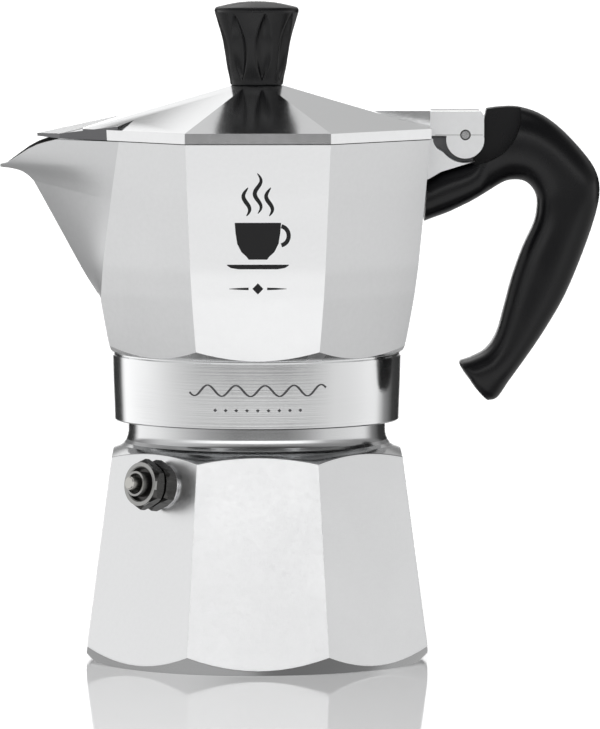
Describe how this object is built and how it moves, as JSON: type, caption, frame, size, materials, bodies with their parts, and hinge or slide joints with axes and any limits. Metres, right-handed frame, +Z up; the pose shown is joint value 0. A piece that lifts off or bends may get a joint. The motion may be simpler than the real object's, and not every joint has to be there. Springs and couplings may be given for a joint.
{
  "type": "moka pot",
  "caption": "Octagonal stovetop coffee maker: boiler with safety valve, screwed-on collector with spout, hinged lid with knob, and a black side handle.",
  "frame": {"origin": "centre of the boiler's flat base, on the pot's vertical axis, at the surface it stands on", "axes": "+Z up along the pot's axis, +X towards the handle, -X towards the spout, +Y to the back when the handle is on the right"},
  "size_m": [0.1451, 0.0836, 0.1592],
  "materials": {
    "cast_aluminium": "polished cast aluminium",
    "polished_aluminium": "bright polished aluminium",
    "spun_aluminium": "plain pressed aluminium",
    "steel": "bright steel",
    "valve_metal": "dark turned metal",
    "brass_pin": "dull nickel-plated brass",
    "silicone": "red silicone",
    "gasket_rubber": "off-white rubber",
    "black_plastic": "black moulded plastic with a soft sheen"
  },
  "bodies": {
    "base": {"boiler": "cast_aluminium", "valve_body": "valve_metal", "valve_washer": "steel", "valve_bush": "steel", "valve_spring": "steel", "funnel_basket": "spun_aluminium", "funnel_sieve": "spun_aluminium", "funnel_stem": "spun_aluminium"},
    "relief_pin": {"valve_pin": "brass_pin", "valve_seal": "silicone"},
    "seal": {"gasket": "gasket_rubber", "filter_plate": "spun_aluminium"},
    "top": {"collector": "polished_aluminium", "handle": "black_plastic", "handle_screw": "steel"},
    "cover": {"lid": "polished_aluminium", "hinge_pin": "steel", "knob": "black_plastic", "knob_screw": "steel", "knob_washer": "steel"}
  },
  "joints": [
    {"name": "collector_lift", "type": "slide", "parent": "base", "child": "seal", "axis": [0, 0, 1], "range_m": [0, 0.0061]},
    {"name": "collector_turn", "type": "hinge", "parent": "seal", "child": "top", "pos_m": [0, 0, 0], "axis": [0, 0, 1], "range_deg": [0, 720]},
    {"name": "lid_hinge", "type": "hinge", "parent": "top", "child": "cover", "pos_m": [0.0502, 0, 0.1272], "axis": [0, 1, 0], "range_deg": [0, 100]},
    {"name": "relief_valve", "type": "slide", "parent": "base", "child": "relief_pin", "axis": [-0.7011, -0.7011, 0.13], "range_m": [0, 0.0015], "stiffness_N_per_m": 800, "springref_m": -0.002, "deforming": ["valve_spring"]}
  ],
  "couplings": [
    {"joint": "collector_lift", "follows": "collector_turn", "m_per_rad": 0.00047746}
  ]
}
